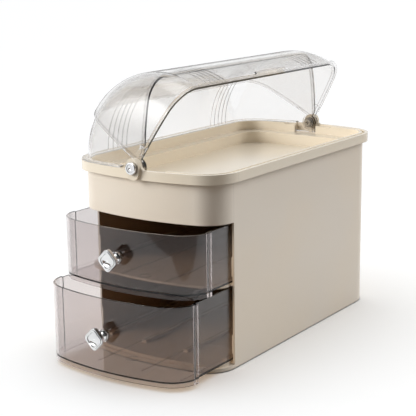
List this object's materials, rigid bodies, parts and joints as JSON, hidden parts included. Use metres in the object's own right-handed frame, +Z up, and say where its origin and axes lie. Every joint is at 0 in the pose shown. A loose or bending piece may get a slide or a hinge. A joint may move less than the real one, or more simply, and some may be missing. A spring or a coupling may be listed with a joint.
{
  "type": "makeup organizer",
  "caption": "Vanity organizer with two bowed smoked drawers, a tray on top and a two part clear barrel cover that turns open on side pivots.",
  "frame": {"origin": "middle of the cabinet's footprint, on the table that the feet stand on", "axes": "+X to the right of a person facing the drawers, +Y towards the back, +Z up; the drawers pull out towards -Y"},
  "size_m": [0.1924, 0.4386, 0.3023],
  "materials": {
    "cream": "semi gloss cream",
    "cream_tray": "semi gloss cream",
    "smoke": "clear smoked plastic",
    "clear": "clear plastic",
    "chrome": "polished",
    "steel": "zinc plated",
    "rubber": "matte"
  },
  "bodies": {
    "cabinet": {"cabinet_shell": "cream", "base_plate": "cream", "drawer_shelf": "cream", "top_tray": "cream_tray", "cover_left": "clear", "pivot_cap_front": "chrome", "pivot_cap_rear": "chrome", "pivot_screw_front": "steel", "pivot_screw_rear": "steel", "hub_washer_front": "steel", "hub_washer_rear": "steel", "screw_washer_front": "steel", "screw_washer_rear": "steel", "foot_front_left": "rubber", "foot_front_right": "rubber", "foot_rear_left": "rubber", "foot_rear_right": "rubber"},
    "cover_right": {"cover_right": "clear"},
    "drawer_lower": {"drawer_lower": "smoke", "knob_lower": "chrome", "knob_screw_lower": "steel", "knob_washer_lower": "steel"},
    "drawer_upper": {"drawer_upper": "smoke", "knob_upper": "chrome", "knob_screw_upper": "steel", "knob_washer_upper": "steel"}
  },
  "joints": [
    {"name": "cover_hinge", "type": "hinge", "parent": "cabinet", "child": "cover_right", "pos_m": [0, 0, 0.2101], "axis": [0, -1, 0], "range_deg": [-59.5, 30.5]},
    {"name": "drawer_lower_slide", "type": "slide", "parent": "cabinet", "child": "drawer_lower", "axis": [0, -1, 0], "range_m": [-0.0623, 0.1277]},
    {"name": "drawer_upper_slide", "type": "slide", "parent": "cabinet", "child": "drawer_upper", "axis": [0, -1, 0], "range_m": [-0.0383, 0.1517]}
  ]
}
